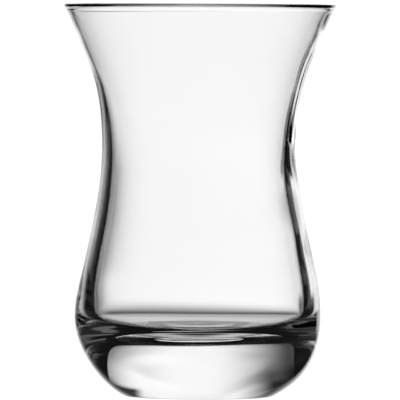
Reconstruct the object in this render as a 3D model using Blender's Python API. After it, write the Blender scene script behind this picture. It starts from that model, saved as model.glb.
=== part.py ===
"""Turkish tea glass: a small tulip-shaped tumbler, turned in one piece of clear glass.

Metres, +Z up. The glass stands on z = 0 and its axis is the Z axis.
"""

import math

import bmesh
import bpy
import numpy as np

# Overall sizes of the glass
HEIGHT = 0.0880
RIM_RADIUS = 0.0305
WAIST_RADIUS = 0.0216
BELLY_RADIUS = 0.0276

# Heights of the outer wall's turning points, and its lean there (radius gained per height)
BELLY_HEIGHT = 0.0180
SHOULDER_HEIGHT = 0.0326
SHOULDER_RADIUS = 0.0252
SHOULDER_LEAN = -0.215
WAIST_HEIGHT = 0.0572
FLARE_HEIGHT = 0.0776
FLARE_RADIUS = 0.0260
FLARE_LEAN = 0.45
RIM_LEAN = 0.47

# The wall is thin at the lip and grows thicker towards the base
LIP_WALL = 0.0012
FLARE_WALL = 0.0014
WAIST_WALL = 0.0024
SHOULDER_WALL = 0.0032
BELLY_WALL = 0.0038
INNER_WAIST_HEIGHT = 0.0520
INNER_SHOULDER_LEAN = -0.16

# The floor inside: nearly flat with well rounded corners, and sagging a little in the middle
FLOOR_HEIGHT = 0.0126
DISH_HEIGHT = 0.0208
DISH_POWER = 3.25
FLOOR_SAG = 0.0007
SAG_RADIUS = 0.0115

# The solid base below it: a rounded heel, a flat ring to stand on and a shallow hollow
HEEL_RADIUS = 0.0201
FOOT_FILLET = 0.0024
HOLLOW_RADIUS = 0.0112
HOLLOW_DEPTH = 0.0017
HOLLOW_POWER = 4.6

# Facets
SIDES = 64
WALL_STEPS = 16
DISH_STEPS = 12
HEEL_STEPS = 9
LIP_STEPS = 6
HOLLOW_STEPS = 6
FOOT_STEPS = 3
SHARP_ANGLE = math.radians(35)

GLASS_COLOUR = (0.93, 0.97, 0.96, 1.0)
GLASS_IOR = 1.52


def clear_scene():
    """Removes every object that is in the scene."""
    for thing in list(bpy.data.objects):
        bpy.data.objects.remove(thing, do_unlink=True)


def wall_radius(height, stations):
    """Radius at a height of a wall that runs smoothly through stations of (height, radius, lean).

    Between two stations it is the cubic of the height that has both radii and both leans.
    """
    for (low, r0, lean0), (high, r1, lean1) in zip(stations, stations[1:]):
        if height <= high:
            break
    span = high - low
    t = (height - low) / span
    start = 2 * t**3 - 3 * t**2 + 1
    bend = (t**3 - 2 * t**2 + t) * lean0 + (t**3 - t**2) * lean1
    return start * r0 + (1 - start) * r1 + span * bend


def wall(stations, steps):
    """Points (radius, height) up a wall, with as many steps between each two of its stations."""
    points = [(stations[0][1], stations[0][0])]
    for (low, _, _), (high, _, _) in zip(stations, stations[1:]):
        for height in np.linspace(low, high, steps // (len(stations) - 1) + 1)[1:]:
            points.append((wall_radius(height, stations), height))
    return points


def arc(centre, radius, first, last, steps):
    """Points (radius, height) on an arc round centre, between two angles in degrees."""
    angles = np.radians(np.linspace(first, last, steps + 1))
    return [(centre[0] + radius * math.cos(a), centre[1] + radius * math.sin(a)) for a in angles]


def floor_dish(bore_radius):
    """Points (radius, height) from the middle of the floor to the wall inside.

    The dish is a quarter of a superellipse, and the sag is a smooth dip that is gone at its radius.
    """
    points = []
    for t in np.linspace(0, math.pi / 2, DISH_STEPS + 1):
        radius = bore_radius * math.sin(t) ** (2 / DISH_POWER)
        height = DISH_HEIGHT - (DISH_HEIGHT - FLOOR_HEIGHT) * max(math.cos(t), 0) ** (2 / DISH_POWER)
        sag = FLOOR_SAG * (1 - min(radius / SAG_RADIUS, 1) ** 2) ** 2
        points.append((radius, height - sag))
    return points


def heel_and_foot():
    """Points (radius, height) down from the belly round the heel, over the foot and to the axis."""
    centre = BELLY_RADIUS - HEEL_RADIUS
    drop = BELLY_HEIGHT - FOOT_FILLET
    foot_centre = centre + math.sqrt((HEEL_RADIUS - FOOT_FILLET) ** 2 - drop**2)
    turn = math.degrees(math.atan2(-drop, foot_centre - centre))
    heel = arc((centre, BELLY_HEIGHT), HEEL_RADIUS, 0, turn, HEEL_STEPS)
    fillet = arc((foot_centre, FOOT_FILLET), FOOT_FILLET, turn, -90, FOOT_STEPS)

    # The hollow's roof is nearly flat, and falls to the foot in a rounded slope at its edge
    hollow = [
        (HOLLOW_RADIUS * math.sqrt(1 - t), HOLLOW_DEPTH * (1 - math.sqrt(1 - t) ** HOLLOW_POWER))
        for t in np.linspace(0, 1, HOLLOW_STEPS + 1)
    ]
    return heel + fillet[1:] + hollow


def profile():
    """The half section of the glass as (radius, height) points.

    It starts on the axis at the floor inside, climbs the inner wall, rounds the lip, runs down the
    outer wall and the heel, and crosses the foot back to the axis.
    """
    # The lip is a half circle as wide as the wall, turned with the wall's lean at the rim
    lip = LIP_WALL / 2
    lean = math.degrees(math.atan(RIM_LEAN))
    rim = arc((RIM_RADIUS - lip, HEIGHT - lip), lip, 180 - lean, -lean, LIP_STEPS)

    outer = [
        (BELLY_HEIGHT, BELLY_RADIUS, 0),
        (SHOULDER_HEIGHT, SHOULDER_RADIUS, SHOULDER_LEAN),
        (WAIST_HEIGHT, WAIST_RADIUS, 0),
        (FLARE_HEIGHT, FLARE_RADIUS, FLARE_LEAN),
        (rim[-1][1], rim[-1][0], RIM_LEAN),
    ]
    bore_radius = BELLY_RADIUS - BELLY_WALL
    inner = [
        (DISH_HEIGHT, bore_radius, 0),
        (SHOULDER_HEIGHT, SHOULDER_RADIUS - SHOULDER_WALL, INNER_SHOULDER_LEAN),
        (INNER_WAIST_HEIGHT, wall_radius(INNER_WAIST_HEIGHT, outer) - WAIST_WALL, 0),
        (FLARE_HEIGHT, FLARE_RADIUS - FLARE_WALL, FLARE_LEAN),
        (rim[0][1], rim[0][0], RIM_LEAN),
    ]
    inside = floor_dish(bore_radius) + wall(inner, WALL_STEPS)[1:]
    outside = wall(outer, WALL_STEPS)[-2::-1] + heel_and_foot()[1:]
    return inside + rim[1:] + outside


def glass_material():
    """Clear soda-lime glass, pressed and fire polished."""
    material = bpy.data.materials.new("clear_glass")
    material.use_nodes = True
    shader = material.node_tree.nodes["Principled BSDF"]
    shader.inputs["Base Color"].default_value = GLASS_COLOUR
    shader.inputs["Metallic"].default_value = 0.0
    shader.inputs["Roughness"].default_value = 0.0
    shader.inputs["IOR"].default_value = GLASS_IOR
    shader.inputs["Transmission Weight"].default_value = 1.0
    return material


def make_glass():
    """Spins the half section once round the Z axis and closes it on the axis."""
    turned = bmesh.new()
    points = [turned.verts.new((radius, 0, height)) for radius, height in profile()]
    edges = [turned.edges.new(pair) for pair in zip(points, points[1:])]
    bmesh.ops.spin(
        turned,
        geom=points + edges,
        cent=(0, 0, 0),
        axis=(0, 0, 1),
        angle=math.tau,
        steps=SIDES,
        use_merge=True,
    )
    bmesh.ops.remove_doubles(turned, verts=turned.verts, dist=0.00001)
    bmesh.ops.recalc_face_normals(turned, faces=turned.faces)

    mesh = bpy.data.meshes.new("glass")
    turned.to_mesh(mesh)
    turned.free()
    mesh.shade_smooth()
    mesh.set_sharp_from_angle(angle=SHARP_ANGLE)
    mesh.materials.append(glass_material())
    bpy.context.collection.objects.link(bpy.data.objects.new("glass", mesh))


clear_scene()
make_glass()
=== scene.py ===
# %% [markdown]
# # A small tulip-shaped tea glass
#
# The real thing is one piece of clear soda-lime glass, pressed in a mould and then fire polished.
# It stands empty, so everything that the eye sees is light bent by its walls and its thick base.
# That makes two things matter more than usual: the exact section of the glass, inside and out,
# and what stands round it to be bent into view. The lesson places the camera, turns the glass
# from its section, gives it its material, and builds the studio last.

import math

import bpy
import numpy as np
from mathutils import Matrix, Vector


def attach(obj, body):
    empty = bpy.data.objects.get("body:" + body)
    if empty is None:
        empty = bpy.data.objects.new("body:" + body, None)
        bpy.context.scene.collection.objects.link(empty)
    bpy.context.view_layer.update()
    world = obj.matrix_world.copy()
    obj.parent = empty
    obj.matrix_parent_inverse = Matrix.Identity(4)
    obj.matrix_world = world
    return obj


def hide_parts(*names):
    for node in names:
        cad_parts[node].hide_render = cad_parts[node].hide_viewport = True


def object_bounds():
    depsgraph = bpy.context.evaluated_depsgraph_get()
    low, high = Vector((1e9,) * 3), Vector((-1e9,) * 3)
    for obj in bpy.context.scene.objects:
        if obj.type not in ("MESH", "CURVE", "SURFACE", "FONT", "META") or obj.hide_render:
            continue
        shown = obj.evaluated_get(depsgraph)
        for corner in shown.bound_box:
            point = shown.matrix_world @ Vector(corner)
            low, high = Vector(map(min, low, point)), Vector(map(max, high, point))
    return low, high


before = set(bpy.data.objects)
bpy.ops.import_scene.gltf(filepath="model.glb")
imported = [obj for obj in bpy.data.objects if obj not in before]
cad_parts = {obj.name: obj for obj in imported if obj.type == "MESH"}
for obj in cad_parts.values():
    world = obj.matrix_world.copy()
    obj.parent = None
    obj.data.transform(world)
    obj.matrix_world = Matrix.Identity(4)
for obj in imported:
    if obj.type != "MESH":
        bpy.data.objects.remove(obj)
cad_low, cad_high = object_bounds()
print("solid model, lowest and highest corner:", tuple(cad_low), tuple(cad_high))

# %% [markdown]
# ## The camera
#
# The picture looks almost level at the glass from far away: the near and the far side of the rim
# fall in one thin line, and the foot is only a little rounder. How fast the curves open from one
# to the other gives the distance, and the height at which they close gives the camera's height.
# A long lens at two metres has that flat look. A short lens close up would show deep ellipses.

# %% Place the camera
MM = 0.001
PICTURE = 400
PIXEL = 0.2241 * MM
FOOT_ROW = 396.5
AXIS_COLUMN = 199.3
CAMERA_DISTANCE = 2.06
CAMERA_HEIGHT = 0.094
CAMERA_ROLL = math.radians(0.25)
NEAREST, FARTHEST = 0.1, 20


def place_camera():
    """Aims the camera so that the foot's centre falls on its own row and the axis on its own column.

    The lens is as long as makes one pixel of the picture as wide as PIXEL at the glass: the sensor's
    width times the distance over the picture's width.
    """
    data = bpy.data.cameras.new("camera")
    camera = bpy.data.objects.new("camera", data)
    bpy.context.scene.collection.objects.link(camera)
    place = Vector((0, -CAMERA_DISTANCE, CAMERA_HEIGHT))
    aim = Vector(((PICTURE / 2 - AXIS_COLUMN) * PIXEL, 0, (FOOT_ROW - PICTURE / 2) * PIXEL))
    look = (aim - place).to_track_quat("-Z", "Y").to_matrix().to_4x4()
    camera.matrix_world = Matrix.Translation(place) @ look @ Matrix.Rotation(CAMERA_ROLL, 4, "Z")
    data.lens = data.sensor_width * (aim - place).length / (PICTURE * PIXEL)
    data.clip_start, data.clip_end = NEAREST, FARTHEST
    bpy.context.scene.camera = camera
    print(f"lens {data.lens:.0f} mm, {CAMERA_DISTANCE} m away")
    return camera


camera = place_camera()

# %% [markdown]
# ## The walls
#
# A turned thing is known by its half section. The walls here swell and pinch without any
# straight stretch, so each wall is a few stations, each a height with its radius and its lean,
# joined by cubics that pass smoothly from one lean to the next. Drawing the same outline by
# hand, point by point, would leave flat spots, and glass shows every one of them.

# %% Name the sizes of the walls
HEIGHT = cad_high.z
RIM_RADIUS = cad_high.x
WAIST_RADIUS = 21.6 * MM
BELLY_RADIUS = 27.6 * MM
BELLY_HEIGHT = 18.0 * MM
SHOULDER_HEIGHT, SHOULDER_RADIUS, SHOULDER_LEAN = 32.6 * MM, 25.2 * MM, -0.215
WAIST_HEIGHT = 57.2 * MM
FLARE_HEIGHT, FLARE_RADIUS, FLARE_LEAN = 77.6 * MM, 26.0 * MM, 0.45
RIM_LEAN = 0.47

FLARE_WALL = 1.4 * MM
WAIST_WALL = 2.48 * MM
SHOULDER_WALL = 3.13 * MM
BELLY_WALL = 3.95 * MM
INNER_FLARE_LEAN = 0.43
INNER_WAIST_HEIGHT = 52.0 * MM
INNER_SHOULDER_LEAN = -0.16
print(f"the wall thins from {BELLY_WALL / MM:.2f} mm at the belly to {FLARE_WALL / MM:.2f} mm in the flare")

# %% Draw a wall
NEAR_RIM, NEAR_RIM_POINTS = 2 * MM, 12


def smooth_curve(height, stations):
    """Value at each height of a curve through stations of (height, value, lean).

    Between two stations it is the cubic of the height that has both values and both leans.
    """
    at, value, lean = np.array(stations, float).T
    i = np.clip(np.searchsorted(at, height) - 1, 0, len(at) - 2)
    span = at[i + 1] - at[i]
    t = (height - at[i]) / span
    start = 2 * t**3 - 3 * t**2 + 1
    bend = (t**3 - 2 * t**2 + t) * lean[i] + (t**3 - t**2) * lean[i + 1]
    return start * value[i] + (1 - start) * value[i + 1] + span * bend


def wall(stations, points):
    """Points (radius, height) up a wall, from its lowest station to its highest.

    They are evenly spaced in height, with more of them near the rim, where the bead is small.
    """
    low, high = stations[0][0], stations[-1][0]
    near_rim = np.linspace(high - NEAR_RIM, high, NEAR_RIM_POINTS)
    height = np.union1d(np.linspace(low, high, points), near_rim)
    return np.column_stack((smooth_curve(height, stations), height))


def arc(centre, half, first, last, points):
    """Points (radius, height) on an ellipse round centre, from one angle in radians to another.

    The two numbers in half are its half width and half height, alike for a circle.
    """
    angle = np.linspace(first, last, points)
    return np.column_stack((centre[0] + half[0] * np.cos(angle), centre[1] + half[1] * np.sin(angle)))


# %% [markdown]
# ## The base
#
# The plunger that pressed the inside had a nearly flat end with well rounded corners. A
# superellipse gives that with one number: a power of 2 is a plain ellipse, and a higher power
# flattens the floor and tightens the corner. This corner bends the dark line and the bright
# crescent that lie across the bottom of the bowl, so it is worth more care than its size says.
# Under the base is a shallow flat-topped hollow, which leaves a ring for the glass to stand on.

# %% Name the sizes of the base
FLOOR_HEIGHT, DISH_HEIGHT, DISH_POWER = 12.55 * MM, 20.8 * MM, 3.25
FLOOR_SAG, SAG_RADIUS = 0.65 * MM, 11.5 * MM
HEEL_RADIUS, FOOT_FILLET = 20.1 * MM, 2.4 * MM
HOLLOW_RADIUS, HOLLOW_DEPTH, HOLLOW_POWER = 11.2 * MM, 1.67 * MM, 4.6
print(f"the base is {(FLOOR_HEIGHT - FLOOR_SAG - HOLLOW_DEPTH) / MM:.1f} mm thick in the middle")


# %% Draw the base
def dish(points):
    """The floor inside, from the axis to the wall: a quarter of a superellipse that sags in the middle.

    With t from 0 to a quarter turn, the radius goes as sin t and the depth as cos t, both raised to
    two over the power. The sag is a smooth dip that is gone at its own radius.
    """
    t = np.linspace(0, math.pi / 2, points)
    radius = (BELLY_RADIUS - BELLY_WALL) * np.sin(t) ** (2 / DISH_POWER)
    height = DISH_HEIGHT - (DISH_HEIGHT - FLOOR_HEIGHT) * np.cos(t) ** (2 / DISH_POWER)
    sag = FLOOR_SAG * (1 - np.minimum(radius / SAG_RADIUS, 1) ** 2) ** 2
    return np.column_stack((radius, height - sag))


def heel_and_foot(points):
    """An arc down from the belly, the small fillet that turns it flat, and the hollow to the axis.

    The hollow's height is its depth times one minus the radius, as a share of the hollow's own
    radius, raised to its power. A high power gives it a flat roof and a steep rounded edge.
    """
    centre = BELLY_RADIUS - HEEL_RADIUS
    drop = BELLY_HEIGHT - FOOT_FILLET
    foot = centre + math.sqrt((HEEL_RADIUS - FOOT_FILLET) ** 2 - drop**2)
    turn = math.atan2(-drop, foot - centre)
    heel = arc((centre, BELLY_HEIGHT), (HEEL_RADIUS, HEEL_RADIUS), 0, turn, points)
    fillet = arc((foot, FOOT_FILLET), (FOOT_FILLET, FOOT_FILLET), turn, -math.pi / 2, points // 4)
    t = np.linspace(1, 0, points // 2)
    hollow = np.column_stack((HOLLOW_RADIUS * t, HOLLOW_DEPTH * (1 - t**HOLLOW_POWER)))
    return np.vstack((heel, fillet[1:], hollow))


# %% [markdown]
# ## The lip and the whole section
#
# Fire polishing melts the edge at the top round, and molten glass also draws itself together, so
# the wall is a trace thicker just below the lip. A half circle would be the simple way to draw
# it, but it bends too much light aside and gives the rim one heavy band. A flat ellipse keeps the
# dark line thin, and the bead under it, a bell curve of the height on each face, adds the
# second, fainter line. The whole wall stands in a little so that the bead stays within the rim.

# %% Join the half section
LIP_WALL, LIP_RISE = 1.3 * MM, 0.22 * MM
BEAD, BEAD_DROP, BEAD_SPREAD = 0.15 * MM, 0.7 * MM, 0.3 * MM
BEAD_ROOM = BEAD / 3
FLOOR_POINTS, INNER_POINTS, LIP_POINTS, OUTER_POINTS, HEEL_POINTS = 60, 62, 24, 70, 40


def bead(section, lip, middle):
    """How far the bead at the lip pushes each face from the middle of the wall.

    It is the bead's height times e to the minus the square of the drop from the bead over its
    spread, outward on the outer face, inward on the inner one and nothing midway between them.
    """
    radius, height = section.T
    side = (radius - middle[0] - RIM_LEAN * (height - middle[1])) / lip
    return BEAD * np.clip(side, -1, 1) * np.exp(-(((HEIGHT - BEAD_DROP - height) / BEAD_SPREAD) ** 2))


def half_section():
    """The closed half section: floor, inner wall, lip, outer wall, heel, foot and hollow, axis to axis.

    The lip is the top of a flat ellipse. It ends where the ellipse has the wall's own lean.
    """
    lip = LIP_WALL / 2
    middle = (RIM_RADIUS - lip - BEAD_ROOM, HEIGHT - LIP_RISE)
    end = math.atan(RIM_LEAN * LIP_RISE / lip)
    rim = arc(middle, (lip, LIP_RISE), math.pi - end, -end, LIP_POINTS)
    outer = [
        (BELLY_HEIGHT, BELLY_RADIUS, 0),
        (SHOULDER_HEIGHT, SHOULDER_RADIUS, SHOULDER_LEAN),
        (WAIST_HEIGHT, WAIST_RADIUS, 0),
        (FLARE_HEIGHT, FLARE_RADIUS, FLARE_LEAN),
        (rim[-1, 1], rim[-1, 0], RIM_LEAN),
    ]
    inner_waist = smooth_curve(np.array([INNER_WAIST_HEIGHT]), outer)[0] - WAIST_WALL
    inner = [
        (DISH_HEIGHT, BELLY_RADIUS - BELLY_WALL, 0),
        (SHOULDER_HEIGHT, SHOULDER_RADIUS - SHOULDER_WALL, INNER_SHOULDER_LEAN),
        (INNER_WAIST_HEIGHT, inner_waist, 0),
        (FLARE_HEIGHT, FLARE_RADIUS - FLARE_WALL, INNER_FLARE_LEAN),
        (rim[0, 1], rim[0, 0], RIM_LEAN),
    ]
    inside = np.vstack((dish(FLOOR_POINTS), wall(inner, INNER_POINTS)[1:]))
    outside = np.vstack((wall(outer, OUTER_POINTS)[-2::-1], heel_and_foot(HEEL_POINTS)[1:]))
    section = np.vstack((inside, rim[1:], outside))
    section[:, 0] += bead(section, lip, middle)
    section[[0, -1], 0] = 0
    return section


section = half_section()
print(len(section), "points in the half section")

# %% [markdown]
# ## What pressing leaves behind
#
# A pressed glass is never quite round. The plunger stood a few tenths of a millimetre to one side
# of the mould, and the hot walls sagged a little once they were out of it. Where the two halves of
# the mould met, a seam was left down the side. Fire polishing has melted it to a broad low
# swelling, under a third of a millimetre high, that runs from the waist up into the flare. Near
# the edge of the glass its slopes throw the light out sideways, so it shows as a second black
# streak beside the wall's own dark line. A bump texture would show none of this, because what
# bends the light here is the real distance between the two faces, so both are put into the mesh.

# %% Set the walls a little to one side
# Each pair is a height and how far to the right the wall lies there, both in millimetres
OUTER_SHIFT = [
    (0, 0), (4.6, 0.30), (18, -0.28), (30, 0.03), (44, -0.03), (60, -0.32), (72, -0.1), (88, 0),
]
INNER_SHIFT = [
    (0, 0), (20, -0.08), (30, -0.06), (37, 0), (50, -0.25),
    (57, -0.22), (68, -0.18), (75, -0.34), (82, -0.3), (88, 0),
]


def aside(section):
    """How far each point of the section lies to the right of the axis: a smooth curve of its height."""
    height = section[:, 1]
    inner, outer = (
        smooth_curve(height, [(z * MM, x * MM, 0) for z, x in stations])
        for stations in (INNER_SHIFT, OUTER_SHIFT)
    )
    within = np.arange(len(section)) < height.argmax()
    return np.where(within, inner, outer)


shift = aside(section)
print(f"the walls lie {shift.min() / MM:.2f} to {shift.max() / MM:.2f} mm to the right of the axis")

# %% Draw the mould seam
# Each pair is a height in millimetres and how many degrees the seam lies round from the front there.
# Angles start at the right, a quarter turn on from the front.
SEAM_LINE = [(57, 86), (62, 87.5), (76, 86)]
FRONT = -90
SEAM_HEIGHT, SEAM_WIDTH = 0.29 * MM, 2.6 * MM
SEAM_LOW, SEAM_HIGH, SEAM_FADE = 55.5 * MM, 80 * MM, 3 * MM


def seam(section, angle):
    """Height of the mould seam over the outer wall, for each point of the section and each side.

    Across the seam it is a bell curve, the height times e to the minus the square of the distance
    over the width. Along the seam it rises above its low end and fades out below its high end.
    """
    radius, height = section.T[:, :, None]
    degrees = FRONT + smooth_curve(height, [(z * MM, a, 0) for z, a in SEAM_LINE])
    across = (angle - np.radians(degrees)) * radius / SEAM_WIDTH
    rising = np.clip((height - SEAM_LOW) / SEAM_FADE, 0, 1)
    fading = np.clip((SEAM_HIGH - height) / SEAM_FADE, 0, 1)
    outside = np.arange(len(section))[:, None] > height.argmax()
    return np.where(outside, SEAM_HEIGHT * rising * fading * np.exp(-across**2), 0)


# %% [markdown]
# ## Turning the section
#
# The surface is a grid: one way runs along the section, the other round the axis. Each point of
# the grid is the section's radius carried round a circle. The two ends of the section lie on the
# axis, so each becomes a single vertex with a fan of triangles, which leaves no pinhole. Glass
# shows facets long before a painted thing does, so it has many sides.

# %% Turn the glass
SIDES = 320


def turned(name, section, sides, shift, relief):
    """A surface of revolution: x = shift + r cos a, y = r sin a and z = height, closed at each end.

    The relief is added to the radius r, so it can differ from side to side.
    """
    angle = (np.arange(sides) / sides - 0.5) * math.tau
    radius, height = section.T
    radius = radius[:, None] + relief(section, angle)
    x, y = shift[:, None] + radius * np.cos(angle), radius * np.sin(angle)
    z = np.broadcast_to(height[:, None], x.shape)
    rings = np.stack((x, y, z), axis=-1)[1:-1].reshape(-1, 3)
    poles = [(shift[end], 0, height[end]) for end in (0, -1)]

    here = np.arange(len(rings)).reshape(-1, sides)
    beside = np.roll(here, -1, axis=1)
    quads = np.stack((here[:-1], here[1:], beside[1:], beside[:-1]), axis=-1).reshape(-1, 4)
    first = np.stack((np.full(sides, len(rings)), here[0], beside[0]), axis=-1)
    last = np.stack((np.full(sides, len(rings) + 1), beside[-1], here[-1]), axis=-1)
    faces = quads.tolist() + first.tolist() + last.tolist()

    mesh = bpy.data.meshes.new(name)
    mesh.from_pydata(np.vstack((rings, poles)).tolist(), [], faces)
    mesh.shade_smooth()
    thing = bpy.data.objects.new(name, mesh)
    bpy.context.scene.collection.objects.link(thing)
    print(name, "has", len(mesh.vertices), "vertices and", len(mesh.polygons), "faces")
    return thing


glass = turned("tea_glass", section, SIDES, shift, seam)
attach(glass, "root")
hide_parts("glass")

# %% [markdown]
# ## Small helpers for materials
#
# Colours are written as sRGB hex, which is what a paint program shows, and turned to the linear
# values that a shader works in. One function adds any kind of node with its settings and links.


# %% Make colours and nodes
def linear(colour):
    """The linear values of an sRGB hex colour, with an alpha of one."""
    srgb = [int(colour[i : i + 2], 16) / 255 for i in (1, 3, 5)]
    return [c / 12.92 if c <= 0.04045 else ((c + 0.055) / 1.055) ** 2.4 for c in srgb] + [1.0]


def new_material(name):
    """An empty node material: (material, its node tree, its output node)."""
    material = bpy.data.materials.new(name)
    material.use_nodes = True
    material.node_tree.nodes.clear()
    return material, material.node_tree, material.node_tree.nodes.new("ShaderNodeOutputMaterial")


def node(tree, kind, settings, inputs):
    """Adds a node and gives its first output.

    Each input is a value, or another node's output to link to.
    """
    made = tree.nodes.new(kind)
    for key, value in settings.items():
        setattr(made, key, value)
    for key, value in inputs.items():
        if isinstance(value, bpy.types.NodeSocket):
            tree.links.new(value, made.inputs[key])
        else:
            made.inputs[key].default_value = value
    return made.outputs[0]


# %% [markdown]
# ## The glass itself
#
# Fire polishing melts the skin of the glass, so it is as smooth as a liquid: no roughness at all,
# and a very shallow waviness that only shows where light grazes it. The one worn place is the
# ring that it stands on, which years of tables have scratched matt. The faint grey-green comes
# from iron in the sand. It belongs to the depth of the glass and not to its surface, so it is
# absorption inside, which the thick base shows and the thin rim doesn't.

# %% Give the glass its material
WAVE_LENGTH, WAVE_HEIGHT = 14 * MM, 0.002 * MM
SCRATCH_LENGTH = 1.5 * MM
WORN_HEIGHT, WORN_ROUGHNESS = 0.15 * MM, 0.4
SODA_LIME_IOR = 1.52
IRON_TINT, IRON_DENSITY = "#2C4844", 1.7

material, tree, output = new_material("clear soda-lime glass, pressed and fire polished")
place = node(tree, "ShaderNodeTexCoord", {}, {}).node.outputs["Object"]
above_table = node(tree, "ShaderNodeSeparateXYZ", {}, {"Vector": place}).node.outputs["Z"]

# The skin set from liquid, which leaves it gently wavy: reflections waver a little
wave = node(tree, "ShaderNodeTexNoise", {}, {"Vector": place, "Scale": 1 / WAVE_LENGTH, "Detail": 1.0})
skin = node(tree, "ShaderNodeBump", {}, {"Height": wave, "Distance": WAVE_HEIGHT, "Strength": 1.0})

# Fine scratches round the foot, drawn coarser than real ones, blur what is seen through the ring
scratch = node(tree, "ShaderNodeTexNoise", {}, {
    "Vector": place, "Scale": 1 / SCRATCH_LENGTH, "Detail": 4.0,
})
worn = node(tree, "ShaderNodeMapRange", {}, {
    "Value": above_table, "From Min": 0.0, "From Max": WORN_HEIGHT, "To Min": WORN_ROUGHNESS, "To Max": 0.0,
})
rough = node(tree, "ShaderNodeMath", {"operation": "MULTIPLY"}, {0: worn, 1: scratch})
surface = node(tree, "ShaderNodeBsdfPrincipled", {}, {
    "Base Color": linear("#FFFFFF"),
    "Roughness": rough,
    "IOR": SODA_LIME_IOR,
    "Transmission Weight": 1.0,
    "Normal": skin,
})

# A little light is lost on the way through, least of it green: the base looks deeper than the rim
depth = node(tree, "ShaderNodeVolumeAbsorption", {}, {"Color": linear(IRON_TINT), "Density": IRON_DENSITY})
tree.links.new(surface, output.inputs["Surface"])
tree.links.new(depth, output.inputs["Volume"])
glass.data.materials.append(material)
print(material.name, "has", len(tree.nodes), "nodes")

# %% [markdown]
# ## The light behind the glass
#
# Clear glass is lit from behind. A wide soft panel stands behind it, and light that the glass
# bends no further than the panel comes out white. The surroundings here are one dome round the
# glass, painted with that light: a ramp across gives its brightness by direction to the left and
# right, and a ramp up gives it by elevation, where a strip of the lit table lies below the panel.
# An area lamp could stand in for the panel, but its edges could not be shaped as freely.
#
# The light is not equally wide at every height. The walls look into its lower part, which is
# wider and leans to the right, the base looks through to a narrower upper part, and the flare
# looks down to the table, where it is narrowest. So the ramp across is a blend of three.

# %% Name the light
# Each pair is an angle in degrees and a brightness: across from left to right, or from low to high
ACROSS_HIGH = [(-38, 0.07), (-2, 1), (5, 1), (50, 0.114)]
ACROSS_LOW = [(-40, 0.02), (-28, 0.08), (-3, 1), (12, 1.06), (20, 1.06), (50, 0.114)]
ACROSS_TABLE = [(-29, 0.02), (-10, 1), (8, 1.06), (18.5, 1.06), (24.5, 0.02)]
# The dip to 0.13 between the panel and the table strip is painted shade: the table close behind the foot,
# lying in the glass's shadow.
UP = [(-53, 0), (-45, 0.5), (-36, 0.5), (-29, 0.13), (-7, 1), (12, 1), (26, 0)]

# The share of the upper part and of the table in the blend, and a faint light from right below
HIGH, TABLE = [(0, 0), (5, 1)], [(-6.5, 1), (-2, 0)]
UNDER = [(-66, 0.25), (-60, 0)]

PANEL, DARK = 1.1, 0.006
DOME = 3.05
print(f"the panel is {PANEL / DARK:.0f} times as bright as the dark round it")

# %% Read the direction on the dome
glow, tree, output = new_material("backlit cloth")
place = node(tree, "ShaderNodeTexCoord", {}, {}).node.outputs["Object"]
part = node(tree, "ShaderNodeSeparateXYZ", {}, {"Vector": place}).node.outputs
azimuth = node(tree, "ShaderNodeMath", {"operation": "ARCTAN2"}, {0: part["X"], 1: part["Y"]})
rise = node(tree, "ShaderNodeMath", {"operation": "DIVIDE"}, {0: part["Z"], 1: DOME})
elevation = node(tree, "ShaderNodeMath", {"operation": "ARCSINE"}, {0: rise})
print(len(tree.nodes), "nodes read the direction")

# %% Draw each brightness along its angle
BRIGHTNESS = {
    "low": (azimuth, ACROSS_LOW),
    "high": (azimuth, ACROSS_HIGH),
    "share of high": (elevation, HIGH),
    "table": (azimuth, ACROSS_TABLE),
    "share of table": (elevation, TABLE),
    "up": (elevation, UP),
    "under": (elevation, UNDER),
}
light = {}
for name, (angle, stops) in BRIGHTNESS.items():
    # The angle is scaled so that the first and last stop are the two ends of an eased ramp
    first, last = stops[0][0], stops[-1][0]
    along = node(tree, "ShaderNodeMapRange", {}, {
        "Value": angle, "From Min": math.radians(first), "From Max": math.radians(last),
    })
    light[name] = node(tree, "ShaderNodeValToRGB", {}, {"Fac": along})
    scale = light[name].node.color_ramp
    scale.interpolation = "EASE"
    scale.elements.remove(scale.elements[1])
    for i, (degrees, brightness) in enumerate(stops):
        stop = scale.elements[0] if i == 0 else scale.elements.new(1)
        stop.position = (degrees - first) / (last - first)
        stop.color = (brightness, brightness, brightness, 1)
print(len(light), "ramps drawn")

# %% Paint the dome
upper = node(tree, "ShaderNodeMix", {}, {
    "Factor": light["share of high"], "A": light["low"], "B": light["high"],
})
across = node(tree, "ShaderNodeMix", {}, {
    "Factor": light["share of table"], "A": upper, "B": light["table"],
})
lit = node(tree, "ShaderNodeMath", {"operation": "MULTIPLY"}, {0: across, 1: light["up"]})
bright = node(tree, "ShaderNodeMath", {"operation": "MULTIPLY_ADD"}, {0: lit, 1: PANEL, 2: light["under"]})
strength = node(tree, "ShaderNodeMath", {"operation": "MAXIMUM"}, {0: bright, 1: DARK})
shine = node(tree, "ShaderNodeEmission", {}, {"Strength": strength})
tree.links.new(shine, output.inputs["Surface"])
print(len(tree.nodes), "nodes paint the dome")

# %% Stand the dome
DOME_POINTS, DOME_SIDES = 60, 96

world = bpy.data.worlds.new("studio")
bpy.context.scene.world = world
world.use_nodes = True
world.node_tree.nodes["Background"].inputs["Color"].default_value = (DARK, DARK, DARK, 1)

# Whoever walks round a glass to photograph it takes the backlight along, and so does this arm
rig = bpy.data.objects.new("studio_arm", None)
bpy.context.scene.collection.objects.link(rig)
rig.location.z = HEIGHT / 2
facing = rig.constraints.new("TRACK_TO")
facing.target = camera
facing.track_axis, facing.up_axis = "TRACK_NEGATIVE_Y", "UP_Z"

bowl = arc((0, 0), (DOME, DOME), -math.pi / 2, math.pi / 2, DOME_POINTS)
dome = turned("studio_dome", bowl, DOME_SIDES, np.zeros(DOME_POINTS), lambda section, angle: 0 * angle)
dome.data.materials.append(glow)
dome.parent = rig

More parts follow.
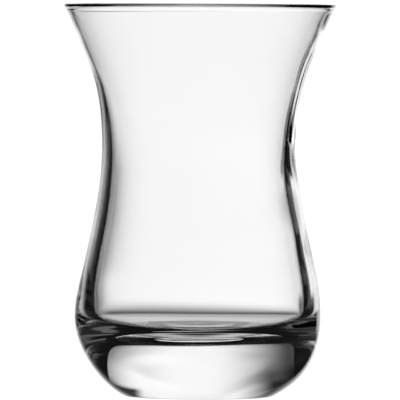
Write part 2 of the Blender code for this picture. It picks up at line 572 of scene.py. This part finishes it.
# %% [markdown]
# ## Black cards
#
# The crisp black lines down the walls of clear glass come from black cards that stand just
# outside the picture, on both sides and a little behind the glass. Light that the walls bend far
# comes from behind a card, so it never arrives. A dark edge painted on the far dome would do the
# same for the walls, but it would cut the light in the thick base at the wrong place, because
# the base bends its light from other points of the glass.

# %% Stand the cards
CARDS = {"left": (-1, 122 * MM, 170 * MM), "right": (1, 163 * MM, 230 * MM)}
CARD_WIDTH, CARD_HALF_HEIGHT = 0.45, 0.3

cloth, tree, output = new_material("black card")
# The cards are not lit. Each glows faintly at the dark level, a painted stand-in for the little light a
# black card sends back.
card_glow = node(tree, "ShaderNodeEmission", {}, {"Strength": DARK})
tree.links.new(card_glow, output.inputs["Surface"])
for name, (side, inner, back) in CARDS.items():
    corners = [(inner, -1), (inner + CARD_WIDTH, -1), (inner + CARD_WIDTH, 1), (inner, 1)]
    mesh = bpy.data.meshes.new(name + "_card")
    mesh.from_pydata([(side * x, back, z * CARD_HALF_HEIGHT) for x, z in corners], [], [(0, 1, 2, 3)])
    mesh.materials.append(cloth)
    card = bpy.data.objects.new(name + "_card", mesh)
    bpy.context.scene.collection.objects.link(card)
    card.parent = rig
    card.visible_camera = False
    print(f"{name} card {inner / MM:.0f} mm to the side and {back / MM:.0f} mm behind")

# %% [markdown]
# ## The table
#
# The glass stands on a plain white table that is lit so evenly that it melts into the panel
# behind it. Only the camera sees this sheet. The table that the glass bends into view is the
# strip at the bottom of the dome, where its brightness can fall off with the direction.

# %% Lay the table
FLOOR_LIGHT, FLOOR_HALF, FLOOR_DROP = 1.1, 2.0, 0.1 * MM

plain, tree, output = new_material("white table")
even = node(tree, "ShaderNodeEmission", {}, {"Strength": FLOOR_LIGHT})
tree.links.new(even, output.inputs["Surface"])
mesh = bpy.data.meshes.new("floor")
corners = [(-1, -1), (1, -1), (1, 1), (-1, 1)]
mesh.from_pydata([(x * FLOOR_HALF, y * FLOOR_HALF, -FLOOR_DROP) for x, y in corners], [], [(0, 1, 2, 3)])
mesh.materials.append(plain)
floor = bpy.data.objects.new("floor", mesh)
bpy.context.scene.collection.objects.link(floor)
floor.visible_transmission = False
floor.visible_glossy = False
print(f"the table is {2 * FLOOR_HALF:.0f} m wide")

# %% [markdown]
# ## Enough bounces
#
# Light in a thick glass base is thrown to and fro many times before it gets out. With few
# bounces allowed, those paths end early and turn black, so the limits are set high. The plain
# view transform keeps the white of the table white.

# %% Set the bounces
BOUNCES = 32

scene = bpy.context.scene
scene.view_settings.view_transform = "Standard"
scene.cycles.max_bounces = BOUNCES
scene.cycles.transmission_bounces = BOUNCES
scene.cycles.glossy_bounces = BOUNCES
print("light may bounce", BOUNCES, "times")
